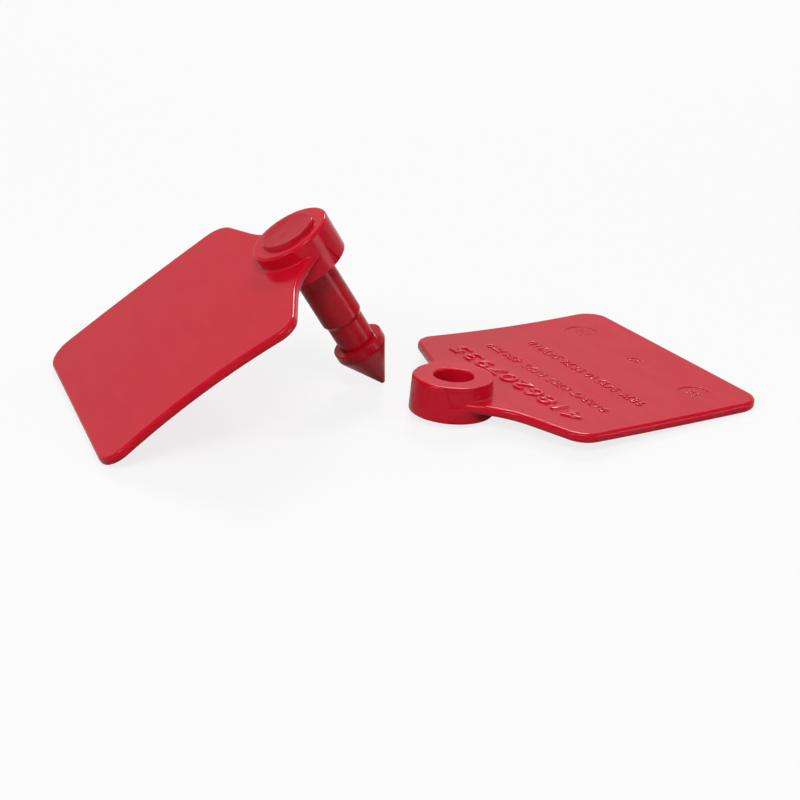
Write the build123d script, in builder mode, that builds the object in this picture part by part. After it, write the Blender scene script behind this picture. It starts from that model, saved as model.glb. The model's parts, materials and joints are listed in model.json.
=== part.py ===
from build123d import *
import os
from math import asin, atan2, cos, degrees, hypot, radians, sin, sqrt, tan

os.makedirs("parts", exist_ok=True)

# A two-piece ear tag: one panel carries a barbed pin, the other a socket for it. The halves lie apart.
# Each half has a plane of its own. Its origin is the ring's centre, half way through the sheet,
# its x runs to the far end of the panel and its z points to the side that faces the ear.

# Sheet of both panels
sheet_thickness = 1.4
sheet_reach = 39.8  # ring centre to end edge
shoulder_slope = 17.7  # degrees that a shoulder leans from straight across
shoulder_round = 3.5
end_round = 3.6
neck_round = 14.3
edge_round = 0.5
bow_start = 7.2  # the sheet is flat up to here and bowed beyond

# Pin panel
pin_shoulder_at = 7.05
pin_shoulder_half = 22.4
pin_end_half = 22.0
pin_side_sag = 0.95
pin_bow_radius = 225.0
pin_ring_ear_height = 3.05  # ring face above the middle of the sheet, ear side
pin_ring_outer_height = 3.0
pin_ring_draft = 0.1  # a ring is this much wider at its outer face

# Socket panel
socket_shoulder_at = 7.45
socket_shoulder_half = 22.8
socket_end_half = 21.85
socket_side_sag = 0.38
socket_bow_radius = 443.0
socket_ring_ear_height = 3.05
socket_ring_outer_height = 2.4
socket_ring_draft = 0.2

# Rings
ring_radius = 6.0
rim_round = 0.4
root_round = 0.3  # where a ring stands on its sheet
neck_inset = 0.1  # the neck runs out on a circle this far inside the stepped wall
shut_off_depth = 0.15  # step in the ring's wall where the mould halves met
shut_off_at = -3.4
shut_off_lean = 14.0
rim_ledge = 0.75  # the stepped wall goes in again this far under the rim
rim_ledge_depth = 0.1

# Pin
shaft_radius = 3.13
shaft_reach = 13.25  # reaches are measured from the middle of the sheet
shaft_taper = 0.7
neck_radius = 2.78
neck_length = 4.1
barb_radius = 3.9  # its flat shoulder catches behind the throat
barb_band = 1.45
barb_edge = 0.12
cone_round = 0.9
tip_reach = 25.35
tip_flat = 0.3
head_radius = 4.25
head_rise = 0.6
head_draft = 0.15  # the head is this much narrower at its top
head_round = 0.2
head_dish = 0.12
pin_seat_gap = 0.05  # round the shaft inside its ring

# Socket, entered from the ear side
throat_clearance = 0.15  # round the pin's neck
throat_end_gap = 0.15  # the pin's neck is this much longer than the throat
chamber_clearance = 0.5  # round the barb
mouth_round = 0.25

# Ejector marks on the ear side of the socket panel, at (along, across)
mark_radius = 2.5
mark_depth = 0.08
mark_places = [(32.2, 14.5), (32.2, -14.5)]

# Where the rings lie and where the panels point
pin_spot = (-14.34, 0.02)
pin_heading = 195.93
socket_spot = (7.77, -8.52)
socket_heading = 31.0

# Worked out from the sizes above
half_sheet = sheet_thickness / 2
neck_reach = shaft_reach + neck_length
throat_radius = neck_radius + throat_clearance
throat_length = neck_length - throat_end_gap
chamber_radius = barb_radius + chamber_clearance
past = 1.0  # cutters run this far past a face
tiny = 0.001


def edge_centre(bow_radius, ear_up):
    """Centre (along, up) of the rounding under the end edge of a half that lies on a table."""
    along = sheet_reach - edge_round
    side = 1 if ear_up else -1
    ring = bow_radius + side * (half_sheet - edge_round)
    up = side * (bow_radius - sqrt(ring**2 - (along - bow_start) ** 2))
    return along, up


def lean_and_height(foot, foot_round, edge):
    """Lean and height of a half that stands on a rounded foot and on its end edge."""
    run, rise = edge[0] - foot[0], edge[1] - foot[1]
    lean = atan2(rise, run) - asin((edge_round - foot_round) / hypot(run, rise))
    return degrees(lean), foot_round + foot[0] * sin(lean) - foot[1] * cos(lean)


def lying_plane(spot, heading, lean, height, ear_up):
    """Plane of a half that points along its heading, leans down to its end and lies on a table."""
    along = Vector(1, 0, 0).rotate(Axis.Y, lean).rotate(Axis.Z, heading)
    up = Vector(0, 0, 1).rotate(Axis.Y, lean).rotate(Axis.Z, heading)
    return Plane(origin=(*spot, height), x_dir=along, z_dir=up if ear_up else -up)


def side_view(plane):
    """Plane through a half's middle line, with x along the half and y to the ear."""
    return Plane(origin=plane.origin, x_dir=plane.x_dir, z_dir=-plane.y_dir)


def flipped(point):
    """The same point on the other side of a half's middle line."""
    return point[0], -point[1]


def sheet_outline(plane, shoulder_at, shoulder_half, end_half, side_sag):
    """Panel seen square on: slanted shoulders that run out on the ring, and waisted sides."""
    apex = (shoulder_at - shoulder_half * tan(radians(shoulder_slope)), 0)
    shoulder = (shoulder_at, shoulder_half)
    corner = (sheet_reach, end_half)
    waist = ((shoulder_at + sheet_reach) / 2, (shoulder_half + end_half) / 2 - side_sag)
    with BuildSketch(plane) as outline:
        with BuildLine():
            Line(apex, shoulder)
            ThreePointArc(shoulder, waist, corner)
            Line(corner, flipped(corner))
            ThreePointArc(flipped(corner), flipped(waist), flipped(shoulder))
            Line(flipped(shoulder), apex)
        make_face()
        fillet(outline.vertices().group_by(Axis.X)[-1], end_round)
        fillet(outline.vertices().group_by(Axis.X)[1], shoulder_round)
        Circle(ring_radius - shut_off_depth - neck_inset)
        fillet(outline.vertices().group_by(Axis.X)[0], neck_round)
    return outline.sketch


def sheet_section(plane, bow_radius):
    """Sheet seen from the side: flat round the ring, then bowed towards the ear."""
    turn = degrees((sheet_reach + past - bow_start) / bow_radius)
    with BuildSketch(side_view(plane)) as section:
        with BuildLine():
            lower = Line((-ring_radius - past, -half_sheet), (bow_start, -half_sheet))
            lower_bow = JernArc(lower @ 1, lower % 1, bow_radius + half_sheet, turn)
            upper = Line((-ring_radius - past, half_sheet), (bow_start, half_sheet))
            upper_bow = JernArc(upper @ 1, upper % 1, bow_radius - half_sheet, turn)
            Line(lower @ 0, upper @ 0)
            Line(lower_bow @ 1, upper_bow @ 1)
        make_face()
    return section.sketch


def bowed_sheet(plane, outline, bow_radius):
    """Sheet of a panel with its edges rounded all round."""
    with BuildPart() as sheet:
        extrude(sheet_section(plane, bow_radius), amount=sheet_reach, both=True)
        extrude(outline, amount=sheet_reach, both=True, mode=Mode.INTERSECT)
        walls = sheet.faces().filter_by(lambda face: abs(face.normal_at().dot(plane.z_dir)) < 0.5)
        rims = walls.edges().filter_by(lambda edge: abs((edge % 0.5).dot(plane.z_dir)) < 0.5)
        fillet(rims, edge_round)
    return sheet.part


def ring_section(plane, ear_height, outer_height, draft):
    """Half section of a ring, from its axis out, with rounded rims."""
    with BuildSketch(side_view(plane)) as section:
        with BuildLine():
            Polyline(
                (0, -outer_height),
                (ring_radius + draft, -outer_height),
                (ring_radius, ear_height),
                (0, ear_height),
                close=True,
            )
        make_face()
        fillet(section.vertices().sort_by(Axis.X)[-2:], rim_round)
    return section.sketch


def shut_off(plane, ear_height):
    """Band cut from a ring's wall on its panel side, with a ledge, ended by a leaning face on each flank."""
    facing = plane.x_dir.rotate(Axis((0, 0, 0), plane.y_dir), -shut_off_lean)
    ledge_plane = plane.offset(ear_height - rim_ledge)
    with BuildPart() as band:
        with BuildSketch(plane):
            Circle(ring_radius + past)
            Circle(ring_radius - shut_off_depth, mode=Mode.SUBTRACT)
        extrude(amount=ear_height + past)
        with BuildSketch(ledge_plane):
            Circle(ring_radius + past)
            Circle(ring_radius - shut_off_depth - rim_ledge_depth, mode=Mode.SUBTRACT)
        extrude(amount=rim_ledge + past)
        split(bisect_by=Plane(plane.origin + plane.x_dir * shut_off_at, x_dir=plane.y_dir, z_dir=facing))
    return band.part


def root_edges(panel, plane):
    """Arcs in which a ring's wall meets the two faces of its sheet."""

    def is_root(edge):
        level = abs(plane.to_local_coords(edge @ 0.5).Z)
        on_wall = edge.geom_type == GeomType.CIRCLE and abs(edge.radius - ring_radius) < 2 * shut_off_depth
        return on_wall and abs(level - half_sheet) < tiny

    return panel.edges().filter_by(is_root)


def mark_plane(along, across):
    """Plane that touches the ear side of the socket panel's bowed sheet at a place."""
    bow = socket_bow_radius - half_sheet
    turn = asin((along - bow_start) / bow)
    up = half_sheet + bow * (1 - cos(turn))
    facing = socket_plane.z_dir * cos(turn) - socket_plane.x_dir * sin(turn)
    return Plane(socket_plane.from_local_coords((along, across, up)), x_dir=socket_plane.y_dir, z_dir=facing)


def shaft_section():
    """Half section of the pin: dished head, shaft, neck, barb and cone."""
    head_top = -pin_ring_outer_height - head_rise
    dish_reach = head_radius - head_draft
    dish_radius = (dish_reach**2 + head_dish**2) / (2 * head_dish)
    with BuildSketch(side_view(pin_plane)) as section:
        with BuildLine():
            dish = JernArc(
                (0, head_top + head_dish), (1, 0), dish_radius, -degrees(asin(dish_reach / dish_radius))
            )
            Polyline(
                dish @ 1,
                (head_radius, -pin_ring_outer_height),
                (shaft_radius, -pin_ring_outer_height),
                (shaft_radius, shaft_reach - shaft_taper),
                (neck_radius, shaft_reach),
                (neck_radius, neck_reach),
                (barb_radius, neck_reach),
                (barb_radius, neck_reach + barb_band),
                (tip_flat, tip_reach),
                (0, tip_reach),
                dish @ 0,
            )
        make_face()
        fillet(section.vertices().group_by(Axis.Y)[0], head_round)
        barb = section.vertices().filter_by(lambda point: point.Y > neck_reach - tiny)
        fillet(barb.group_by(Axis.X)[-1].sort_by(Axis.Y)[-1], cone_round)
        barb = section.vertices().filter_by(lambda point: abs(point.Y - neck_reach) < tiny)
        fillet(barb.sort_by(Axis.X)[-1], barb_edge)
    return section.sketch


def socket_section():
    """Half section of what the pin goes through: a throat for its neck, then a chamber for its barb."""
    throat_foot = socket_ring_ear_height - throat_length
    with BuildSketch(side_view(socket_plane)) as section:
        with BuildLine():
            Polyline(
                (0, socket_ring_ear_height + past),
                (throat_radius, socket_ring_ear_height + past),
                (throat_radius, throat_foot),
                (chamber_radius, throat_foot),
                (chamber_radius, -socket_ring_outer_height - past),
                (0, -socket_ring_outer_height - past),
                close=True,
            )
        make_face()
    return section.sketch


# The pin panel leans on its end edge and on the pin's tip, ear side down
pin_foot = (tip_flat, -tip_reach)
pin_lean, pin_height = lean_and_height(pin_foot, 0, edge_centre(pin_bow_radius, ear_up=False))
pin_plane = lying_plane(pin_spot, pin_heading, pin_lean, pin_height, ear_up=False)
pin_axis = Axis(pin_plane.origin, pin_plane.z_dir)

# The socket panel lies on its end edge and on the rim of its ring, ear side up
socket_foot = (ring_radius + socket_ring_draft - rim_round, rim_round - socket_ring_outer_height)
socket_lean, socket_height = lean_and_height(
    socket_foot, rim_round, edge_centre(socket_bow_radius, ear_up=True)
)
socket_plane = lying_plane(socket_spot, socket_heading, socket_lean, socket_height, ear_up=True)
socket_axis = Axis(socket_plane.origin, socket_plane.z_dir)

# Pin panel
pin_ring = ring_section(pin_plane, pin_ring_ear_height, pin_ring_outer_height, pin_ring_draft)
pin_step = shut_off(pin_plane, pin_ring_ear_height)
pin_outline = sheet_outline(pin_plane, pin_shoulder_at, pin_shoulder_half, pin_end_half, pin_side_sag)
pin_sheet = bowed_sheet(pin_plane, pin_outline, pin_bow_radius)
with BuildPart() as male_panel:
    revolve(pin_ring, axis=pin_axis)
    add(pin_step, mode=Mode.SUBTRACT)
    add(pin_sheet)
    fillet(root_edges(male_panel, pin_plane), root_round)
    with BuildSketch(pin_plane):
        Circle(shaft_radius + pin_seat_gap)
    extrude(amount=sheet_reach, both=True, mode=Mode.SUBTRACT)
male_panel.part.label = "male_panel"
export_step(male_panel.part, "parts/male_panel.step")

# Pin, its head seated on the outer face of the ring
pin_profile = shaft_section()
with BuildPart() as pin:
    revolve(pin_profile, axis=pin_axis)
pin.part.label = "pin"
export_step(pin.part, "parts/pin.step")

# Socket panel
socket_ring = ring_section(
    socket_plane, socket_ring_ear_height, socket_ring_outer_height, socket_ring_draft
)
socket_step = shut_off(socket_plane, socket_ring_ear_height)
socket_outline = sheet_outline(
    socket_plane, socket_shoulder_at, socket_shoulder_half, socket_end_half, socket_side_sag
)
socket_sheet = bowed_sheet(socket_plane, socket_outline, socket_bow_radius)
socket_hollow = socket_section()
with BuildPart() as female_panel:
    revolve(socket_ring, axis=socket_axis)
    add(socket_step, mode=Mode.SUBTRACT)
    add(socket_sheet)
    fillet(root_edges(female_panel, socket_plane), root_round)
    revolve(socket_hollow, axis=socket_axis, mode=Mode.SUBTRACT)
    throat_rims = female_panel.edges().filter_by(GeomType.CIRCLE).filter_by(
        lambda edge: abs(edge.radius - throat_radius) < tiny
    )
    fillet(throat_rims.sort_by(socket_axis)[-1], mouth_round)
    with BuildSketch(*[mark_plane(*place) for place in mark_places]):
        Circle(mark_radius)
    extrude(amount=mark_depth, both=True, mode=Mode.SUBTRACT)
female_panel.part.label = "female_panel"
export_step(female_panel.part, "parts/female_panel.step")
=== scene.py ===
"""Looks, light and camera for a livestock ear tag whose two halves lie side by side on a pale table."""

import json
import logging
import math
from dataclasses import dataclass, field, replace
from enum import Enum
from typing import Any

import bpy
from mathutils import Matrix, Vector


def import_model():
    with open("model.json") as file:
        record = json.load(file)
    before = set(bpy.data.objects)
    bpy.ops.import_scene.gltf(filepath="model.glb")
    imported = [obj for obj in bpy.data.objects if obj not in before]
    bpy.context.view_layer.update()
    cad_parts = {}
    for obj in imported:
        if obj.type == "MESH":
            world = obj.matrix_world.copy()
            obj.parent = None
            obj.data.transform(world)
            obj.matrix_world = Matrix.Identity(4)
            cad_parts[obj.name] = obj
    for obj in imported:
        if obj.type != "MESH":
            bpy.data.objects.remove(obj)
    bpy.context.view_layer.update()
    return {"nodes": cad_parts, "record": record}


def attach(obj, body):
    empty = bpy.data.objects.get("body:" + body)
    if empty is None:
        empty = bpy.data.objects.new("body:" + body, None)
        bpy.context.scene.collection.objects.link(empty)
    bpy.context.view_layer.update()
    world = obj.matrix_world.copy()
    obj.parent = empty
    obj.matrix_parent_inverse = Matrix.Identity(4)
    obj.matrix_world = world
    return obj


MM = 0.001
BODY = "root"

log = logging.getLogger("ear_tag")


class Node(Enum):
    """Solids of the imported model."""

    PIN_PANEL = "male_panel"
    PIN = "pin"
    SOCKET_PANEL = "female_panel"


def linear(code: str) -> tuple[float, float, float, float]:
    """Turns an sRGB hex colour to linear.

    Args:
        code: Six hex digits, such as "BA0A23".

    Returns:
        Red, green, blue and an alpha of 1.
    """
    shares = [int(code[i : i + 2], 16) / 255 for i in (0, 2, 4)]
    red, green, blue = [c / 12.92 if c <= 0.04045 else ((c + 0.055) / 1.055) ** 2.4 for c in shares]
    return red, green, blue, 1.0


def per_metre(size_mm: float) -> float:
    """Gives the texture scale at which a pattern's features are this many millimetres across."""
    return 1 / (size_mm * MM)


def add_node(
    tree: bpy.types.NodeTree,
    kind: str,
    inputs: dict[str | int, Any] | None = None,
    **settings: Any,
) -> bpy.types.Node:
    """Adds one node with its settings and links.

    Args:
        tree: The node tree that gets the node.
        kind: The node's type, such as "ShaderNodeTexNoise".
        inputs: Sockets by name or number, each with a value or with the output that feeds it.
        settings: Properties of the node itself.

    Returns:
        The new node.
    """
    node = tree.nodes.new(kind)
    for name, value in settings.items():
        setattr(node, name, value)
    for socket, value in (inputs or {}).items():
        if isinstance(value, bpy.types.NodeSocket):
            tree.links.new(value, node.inputs[socket])
        else:
            node.inputs[socket].default_value = value
    return node


def new_tree(name: str) -> tuple[bpy.types.Material, bpy.types.NodeTree]:
    """Makes a material with an empty node tree.

    Args:
        name: The material's name.

    Returns:
        The material and its tree.
    """
    material = bpy.data.materials.new(name)
    material.use_nodes = True
    material.node_tree.nodes.clear()
    return material, material.node_tree


@dataclass(frozen=True)
class MouldedPolyurethane:
    """Pigmented polyurethane from a smooth mould: one deep colour, a sleek skin and faint flow marks.

    Slow waves in the skin break up what it mirrors. Roughness runs from the first value to the second
    with the flow marks.
    """

    name: str
    colour: str
    flow_colour: str
    flow_share: float
    roughness: tuple[float, float]
    specular: float
    flow_mm: float = 7.0
    flow_stretch: float = 4.0
    flow_detail: float = 3.0
    # Parts of the noise's height over which the flow colour and the roughness come in
    flow_range: tuple[float, float] = (0.35, 0.75)
    gloss_range: tuple[float, float] = (0.3, 0.7)
    wave_mm: float = 16.0
    wave_depth_mm: float = 0.13
    wave_detail: float = 1.0
    # Real skin grain is finer than a pixel, so it is drawn coarse enough to show
    grain_mm: float = 0.45
    grain_depth_mm: float = 0.004
    grain_detail: float = 2.0
    # Light goes a little way into the red plastic, so hollows and thin edges glow
    glow_share: float = 0.4
    glow_mm: float = 1.5
    glow_spread: tuple[float, float, float] = (1.0, 0.15, 0.1)

    def material(self, heading: float) -> bpy.types.Material:
        """Builds the material.

        Args:
            heading: Direction in which the plastic flowed, in degrees about Z.

        Returns:
            The material.
        """
        material, tree = new_tree(self.name)
        place = add_node(tree, "ShaderNodeTexCoord").outputs["Object"]
        along = add_node(
            tree,
            "ShaderNodeMapping",
            {
                "Vector": place,
                "Rotation": (0, 0, math.radians(heading)),
                "Scale": (1 / self.flow_stretch, 1, 1),
            },
            vector_type="TEXTURE",
        )
        flow = add_node(
            tree,
            "ShaderNodeTexNoise",
            {
                "Vector": along.outputs[0],
                "Scale": per_metre(self.flow_mm),
                "Detail": self.flow_detail,
            },
        )
        flow_amount = add_node(
            tree,
            "ShaderNodeMapRange",
            {
                "Value": flow.outputs[0],
                "From Min": self.flow_range[0],
                "From Max": self.flow_range[1],
                "To Max": self.flow_share,
            },
        )
        colour = add_node(
            tree,
            "ShaderNodeMix",
            {
                "Factor": flow_amount.outputs[0],
                "A": linear(self.colour),
                "B": linear(self.flow_colour),
            },
            data_type="RGBA",
        )
        wave = add_node(
            tree,
            "ShaderNodeTexNoise",
            {"Vector": place, "Scale": per_metre(self.wave_mm), "Detail": self.wave_detail},
        )
        waved = add_node(
            tree,
            "ShaderNodeBump",
            {"Height": wave.outputs[0], "Distance": self.wave_depth_mm * MM},
        )
        grain = add_node(
            tree,
            "ShaderNodeTexNoise",
            {"Vector": place, "Scale": per_metre(self.grain_mm), "Detail": self.grain_detail},
        )
        grained = add_node(
            tree,
            "ShaderNodeBump",
            {
                "Height": grain.outputs[0],
                "Distance": self.grain_depth_mm * MM,
                "Normal": waved.outputs[0],
            },
        )
        roughness = add_node(
            tree,
            "ShaderNodeMapRange",
            {
                "Value": flow.outputs[0],
                "From Min": self.gloss_range[0],
                "From Max": self.gloss_range[1],
                "To Min": self.roughness[0],
                "To Max": self.roughness[1],
            },
        )
        shader = add_node(
            tree,
            "ShaderNodeBsdfPrincipled",
            {
                "Base Color": colour.outputs["Result"],
                "Roughness": roughness.outputs[0],
                "Normal": grained.outputs[0],
                "Specular IOR Level": self.specular,
                "Subsurface Weight": self.glow_share,
                "Subsurface Radius": self.glow_spread,
                "Subsurface Scale": self.glow_mm * MM,
            },
        )
        add_node(tree, "ShaderNodeOutputMaterial", {"Surface": shader.outputs[0]})
        return material


# Soft polyurethane of the panels: an even satin red, with its gloss matched below that of clean plastic
PANEL_FINISH = MouldedPolyurethane(
    name="satin_polyurethane",
    colour="D20A28",
    flow_colour="D62232",
    flow_share=0.35,
    roughness=(0.12, 0.19),
    specular=0.17,
)
# Digits are cut into the mould with a smoother face, so they glint on the satin sheet
RAISED_FINISH = replace(PANEL_FINISH, name="polished_polyurethane", roughness=(0.10, 0.18), specular=0.32)
# Hard polyurethane of the pin: a deeper red with sharper streaks, mottled where it cooled unevenly
PIN_FINISH = MouldedPolyurethane(
    name="glossy_polyurethane",
    colour="C80A24",
    flow_colour="B0222A",
    flow_share=0.8,
    roughness=(0.12, 0.20),
    specular=0.16,
    flow_mm=3.0,
    flow_stretch=1.5,
    wave_mm=2.5,
    wave_depth_mm=0.07,
)


def paint(piece: bpy.types.Object, material: bpy.types.Material) -> None:
    """Puts one material on all of a piece."""
    piece.data.materials.clear()
    piece.data.materials.append(material)


@dataclass(frozen=True)
class NumberLine:
    """A line of raised digits across the panel."""

    digits: str
    along_mm: float
    middle_mm: float
    length_mm: float
    height_mm: float
    rise_mm: float
    round_mm: float


@dataclass
class SocketPanel:
    """The half with the socket, and the number that is moulded on its ear side."""

    solid: bpy.types.Object
    axis: Vector
    ring: Vector
    lines: list[NumberLine] = field(
        default_factory=lambda: [
            NumberLine("4186207935", 10.8, -0.2, 33.0, 3.0, 0.26, 0.12),
            NumberLine("012345 6789 0123 456789", 16.3, 0.0, 31.0, 1.7, 0.13, 0.06),
            NumberLine("9876 543210 9876 543210", 22.7, -0.7, 29.5, 1.7, 0.13, 0.06),
            NumberLine("27", 32.7, 0.7, 2.6, 1.6, 0.08, 0.09),
            NumberLine("14", 32.2, 14.5, 2.4, 2.0, 0.07, 0.09),
            NumberLine("36", 32.2, -14.5, 2.4, 2.0, 0.07, 0.09),
        ]
    )
    sunk_share: float = 0.6
    curve_steps: int = 3
    ring_places: tuple[tuple[float, float], ...] = ((32.2, 14.5), (32.2, -14.5))
    ring_radius_mm: float = 2.55
    ring_line_mm: float = 0.17
    ring_rise_mm: float = 0.07
    ring_steps: tuple[int, int] = (72, 12)
    search_mm: float = 20.0
    merge_mm: float = 0.0005
    smooth_angle: float = 40.0

    @property
    def heading(self) -> float:
        """Direction of the panel's middle line, in degrees about Z."""
        return math.degrees(math.atan2(self.axis.y, self.axis.x))

    def directions(self) -> tuple[Vector, Vector]:
        """Gives the directions along and across the panel.

        Returns:
            The direction to the panel's far end, and the one across it.
        """
        across = Vector((0, 0, 1)).cross(self.axis).normalized()
        return across.cross(self.axis).normalized(), across

    def seat(self, along_mm: float, across_mm: float) -> tuple[Vector, Vector]:
        """Finds the sheet's ear side at a place.

        Args:
            along_mm: Distance from the ring's axis to the far end.
            across_mm: Distance from the middle line.

        Returns:
            The point on the sheet and its normal.
        """
        along, across = self.directions()
        above = self.ring + (along * along_mm + across * across_mm + self.axis * self.search_mm) * MM
        found, point, normal, _ = self.solid.ray_cast(above, -self.axis)
        if not found:
            raise ValueError(f"no sheet at {along_mm}, {across_mm}")
        return point, normal

    def lay(self, along_mm: float, across_mm: float, lift_mm: float) -> Matrix:
        """Gives the place of something that lies on the sheet's ear side.

        Args:
            along_mm: Distance from the ring's axis to the far end.
            across_mm: Distance from the middle line.
            lift_mm: Height above the sheet.

        Returns:
            The turn and shift, with X across the panel and Z out of the sheet.
        """
        point, normal = self.seat(along_mm, across_mm)
        _, across = self.directions()
        up = normal.cross(across).normalized()
        turn = Matrix((across, up, normal)).transposed().to_4x4()
        return Matrix.Translation(point + normal * lift_mm * MM) @ turn

    def raise_line(self, line: NumberLine) -> bpy.types.Object:
        """Models one line of raised digits, seated in the sheet.

        Args:
            line: What the line says, and where and how large it is.

        Returns:
            The line as a mesh with its place in its points.
        """
        bpy.ops.object.select_all(action="DESELECT")
        bpy.ops.object.text_add()
        words = bpy.context.object
        words.data.body = line.digits
        words.data.align_x = "CENTER"
        words.data.align_y = "CENTER"
        # The text is drawn one unit high and brought to its size as a mesh
        words.data.bevel_depth = line.round_mm / line.height_mm
        words.data.offset = -line.round_mm / 2 / line.height_mm
        words.data.bevel_resolution = self.curve_steps
        words.data.resolution_u = self.curve_steps
        bpy.ops.object.convert(target="MESH")
        low = [min(v.co[i] for v in words.data.vertices) for i in range(3)]
        high = [max(v.co[i] for v in words.data.vertices) for i in range(3)]
        centre = Vector([(a + b) / 2 for a, b in zip(low, high)])
        # Its section is a flat oval whose middle lies under the skin, so only a low dome stands proud
        sunk = line.rise_mm * self.sunk_share
        goal = (line.length_mm, line.height_mm, 2 * (line.rise_mm + sunk))
        scale = Matrix.Diagonal([g * MM / (b - a) for g, a, b in zip(goal, low, high)]).to_4x4()
        lift = self.lay(line.along_mm, line.middle_mm, -sunk)
        words.data.transform(lift @ scale @ Matrix.Translation(-centre))
        return words

    def raise_rings(self) -> list[bpy.types.Object]:
        """Models one low round line and copies it to each of its places on the sheet.

        Returns:
            The round lines as meshes with their places in their points.
        """
        bpy.ops.object.select_all(action="DESELECT")
        bpy.ops.mesh.primitive_torus_add(
            major_segments=self.ring_steps[0],
            minor_segments=self.ring_steps[1],
            major_radius=self.ring_radius_mm * MM,
            minor_radius=self.ring_line_mm * MM,
        )
        first = bpy.context.object
        bpy.ops.object.mode_set(mode="EDIT")
        bpy.ops.mesh.select_all(action="SELECT")
        bpy.ops.transform.resize(value=(1, 1, self.ring_rise_mm / self.ring_line_mm))
        bpy.ops.object.mode_set(mode="OBJECT")
        rings = [first]
        for _ in self.ring_places[1:]:
            copy = first.copy()
            copy.data = first.data.copy()
            bpy.context.scene.collection.objects.link(copy)
            rings.append(copy)
        for ring, (along_mm, across_mm) in zip(rings, self.ring_places):
            ring.data.transform(self.lay(along_mm, across_mm, 0.0))
        return rings

    def build(self) -> bpy.types.Object:
        """Models the raised number.

        Returns:
            All its lines as one piece.
        """
        rows = [self.raise_line(line) for line in self.lines] + self.raise_rings()
        bpy.ops.object.select_all(action="DESELECT")
        for row in rows:
            row.select_set(True)
        bpy.context.view_layer.objects.active = rows[0]
        bpy.ops.object.join()
        number = rows[0]
        number.name = "raised_number"
        bpy.ops.object.mode_set(mode="EDIT")
        bpy.ops.mesh.select_all(action="SELECT")
        bpy.ops.mesh.remove_doubles(threshold=self.merge_mm * MM)
        bpy.ops.mesh.normals_make_consistent(inside=False)
        bpy.ops.object.mode_set(mode="OBJECT")
        bpy.ops.object.shade_smooth_by_angle(angle=math.radians(self.smooth_angle))
        return number

    def dress(self) -> None:
        """Gives the panel and its raised number their plastics."""
        number = self.build()
        paint(self.solid, PANEL_FINISH.material(self.heading))
        paint(number, RAISED_FINISH.material(self.heading))
        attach(number, BODY)
        log.info("socket panel dressed, number has %d faces", len(number.data.polygons))


@dataclass
class PinPanel:
    """The half with the pin."""

    sheet: bpy.types.Object
    pin: bpy.types.Object
    axis: Vector

    @property
    def heading(self) -> float:
        """Direction of the panel's middle line, in degrees about Z."""
        return math.degrees(math.atan2(-self.axis.y, -self.axis.x))

    def dress(self) -> None:
        """Gives the panel and its pin their plastics."""
        paint(self.sheet, PANEL_FINISH.material(self.heading))
        paint(self.pin, PIN_FINISH.material(self.heading))
        log.info("pin panel dressed")


@dataclass(frozen=True)
class Softbox:
    """A square soft lamp that faces a point on the table."""

    name: str
    place: tuple[float, float, float]
    side: float
    power: float

    def light(self, target: Vector) -> None:
        """Hangs the lamp.

        Args:
            target: The point that it faces.
        """
        data = bpy.data.lights.new(self.name, "AREA")
        data.shape = "SQUARE"
        data.size = self.side
        data.energy = self.power
        lamp = bpy.data.objects.new(self.name, data)
        lamp.location = self.place
        lamp.rotation_euler = (target - lamp.location).to_track_quat("-Z", "Y").to_euler()
        bpy.context.scene.collection.objects.link(lamp)


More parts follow.
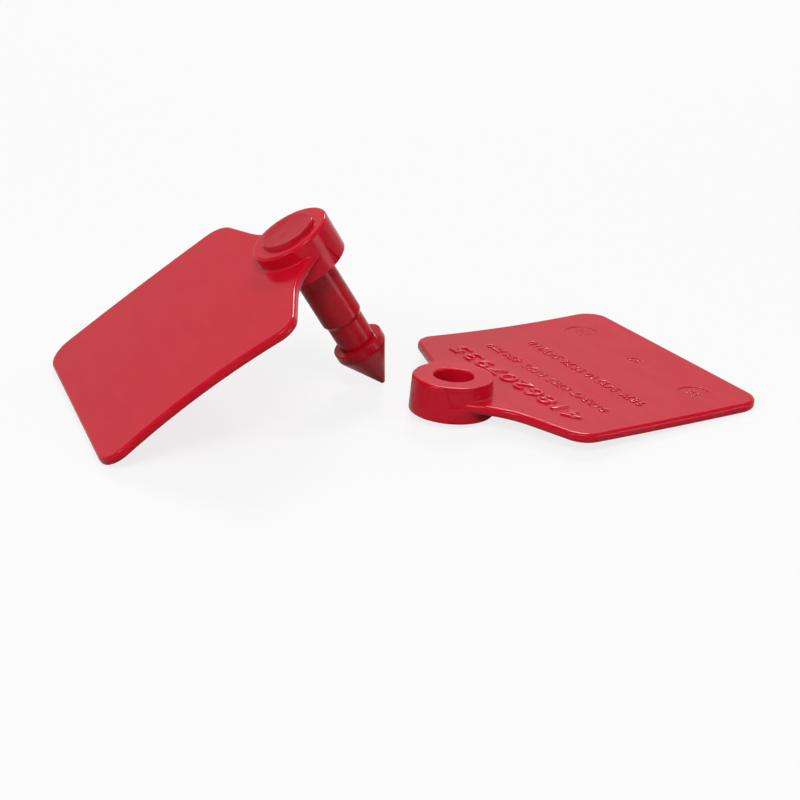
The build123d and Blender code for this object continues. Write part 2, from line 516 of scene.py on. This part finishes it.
@dataclass
class Studio:
    """Pale table, soft light and the camera at the photograph's angle."""

    target: Vector = field(default_factory=lambda: Vector((0.25, -3.34, 0)) * MM)
    distance: float = 0.446019
    elevation: float = 22.127
    lens: float = 137.424
    sensor: float = 36.0
    near_clip: float = 0.01
    table_side: float = 8.0
    table_colour: str = "F0F0F0"
    # The table lights the tag from below as a greyer one would, which keeps the under sides deep
    table_bounce: str = "989898"
    # Shares of plain white that the camera sees in the table, and that mirrors and glass see
    table_white: float = 0.80
    table_mirror: float = 0.12
    room_level: float = 0.215
    wall_level: float = 0.62
    # Upward part of a direction over which the wall fades out, and backward part over which it comes in
    wall_top: tuple[float, float] = (0.35, 0.6)
    wall_side: tuple[float, float] = (0.0, 0.7)
    lamps: tuple[Softbox, ...] = (
        Softbox("key_softbox", (0.0, -0.385, 0.585), 0.25, 1.95),
        Softbox("left_softbox", (-0.46, -0.35, 0.40), 0.15, 1.15),
        Softbox("crown_softbox", (0.05, 0.515, 0.445), 0.16, 1.55),
        Softbox("right_softbox", (0.48, -0.16, 0.06), 0.20, 0.45),
    )

    def table(self) -> None:
        """Lays the table, which shows nearly white and keeps the tag's shadow."""
        bpy.ops.object.select_all(action="DESELECT")
        bpy.ops.mesh.primitive_plane_add(size=self.table_side)
        top = bpy.context.object
        top.name = "table"
        material, tree = new_tree("matt_white_board")
        path = add_node(tree, "ShaderNodeLightPath").outputs
        mirrored = add_node(
            tree,
            "ShaderNodeMath",
            {0: path["Is Glossy Ray"], 1: path["Is Transmission Ray"]},
            operation="MAXIMUM",
        )
        seen = add_node(
            tree,
            "ShaderNodeMath",
            {0: path["Is Camera Ray"], 1: mirrored.outputs[0]},
            operation="MAXIMUM",
        )
        white_seen = add_node(
            tree,
            "ShaderNodeMapRange",
            {
                "Value": path["Is Camera Ray"],
                "To Min": self.table_mirror,
                "To Max": self.table_white,
            },
        )
        share = add_node(
            tree,
            "ShaderNodeMath",
            {0: seen.outputs[0], 1: white_seen.outputs[0]},
            operation="MULTIPLY",
        )
        colour = add_node(
            tree,
            "ShaderNodeMix",
            {
                "Factor": seen.outputs[0],
                "A": linear(self.table_bounce),
                "B": linear(self.table_colour),
            },
            data_type="RGBA",
        )
        board = add_node(tree, "ShaderNodeBsdfDiffuse", {"Color": colour.outputs["Result"]})
        white = add_node(tree, "ShaderNodeEmission", {"Strength": 1.0})
        mixed = add_node(
            tree,
            "ShaderNodeMixShader",
            {0: share.outputs[0], 1: board.outputs[0], 2: white.outputs[0]},
        )
        add_node(tree, "ShaderNodeOutputMaterial", {"Surface": mixed.outputs[0]})
        paint(top, material)

    def surroundings(self) -> None:
        """Makes a soft pale room with a bright low wall behind the table."""
        world = bpy.data.worlds.new("pale_room")
        world.use_nodes = True
        tree = world.node_tree
        tree.nodes.clear()
        place = add_node(tree, "ShaderNodeTexCoord").outputs["Generated"]
        way = add_node(tree, "ShaderNodeSeparateXYZ", {0: place}).outputs
        low = add_node(
            tree,
            "ShaderNodeMapRange",
            {
                "Value": way["Z"],
                "From Min": self.wall_top[0],
                "From Max": self.wall_top[1],
                "To Min": 1.0,
                "To Max": 0.0,
            },
            interpolation_type="SMOOTHSTEP",
        )
        behind = add_node(
            tree,
            "ShaderNodeMapRange",
            {"Value": way["Y"], "From Min": self.wall_side[0], "From Max": self.wall_side[1]},
            interpolation_type="SMOOTHSTEP",
        )
        wall = add_node(
            tree, "ShaderNodeMath", {0: low.outputs[0], 1: behind.outputs[0]}, operation="MULTIPLY"
        )
        level = add_node(
            tree,
            "ShaderNodeMapRange",
            {"Value": wall.outputs[0], "To Min": self.room_level, "To Max": self.wall_level},
        )
        glow = add_node(
            tree,
            "ShaderNodeBackground",
            {"Color": linear("FFFFFF"), "Strength": level.outputs[0]},
        )
        add_node(tree, "ShaderNodeOutputWorld", {"Surface": glow.outputs[0]})
        bpy.context.scene.world = world

    def camera(self) -> None:
        """Sets the camera at the photograph's angle."""
        data = bpy.data.cameras.new("camera")
        data.lens = self.lens
        data.sensor_width = self.sensor
        data.clip_start = self.near_clip
        eye = bpy.data.objects.new("camera", data)
        angle = math.radians(self.elevation)
        eye.location = self.target + Vector((0, -math.cos(angle), math.sin(angle))) * self.distance
        eye.rotation_euler = (math.pi / 2 - angle, 0, 0)
        bpy.context.scene.collection.objects.link(eye)
        bpy.context.scene.camera = eye

    def build(self) -> None:
        """Sets up the table, the light and the camera."""
        self.table()
        self.surroundings()
        for lamp in self.lamps:
            lamp.light(self.target)
        self.camera()
        bpy.context.scene.view_settings.view_transform = "Standard"
        log.info("studio built with %d lamps", len(self.lamps))


def main() -> None:
    """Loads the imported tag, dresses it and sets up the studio."""
    logging.basicConfig(level=logging.INFO, format="%(name)s: %(message)s")
    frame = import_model()
    mounts = {m["name"]: m for m in frame["record"]["mounts"]}
    nodes = frame["nodes"]
    throat = mounts["socket_throat"]
    socket_panel = SocketPanel(
        solid=nodes[Node.SOCKET_PANEL.value],
        axis=Vector(throat["axis"]).normalized(),
        ring=Vector(throat["pos_m"]),
    )
    socket_panel.dress()
    pin_panel = PinPanel(
        sheet=nodes[Node.PIN_PANEL.value],
        pin=nodes[Node.PIN.value],
        axis=Vector(mounts["barb"]["axis"]).normalized(),
    )
    pin_panel.dress()
    Studio().build()


if __name__ == "__main__":
    main()
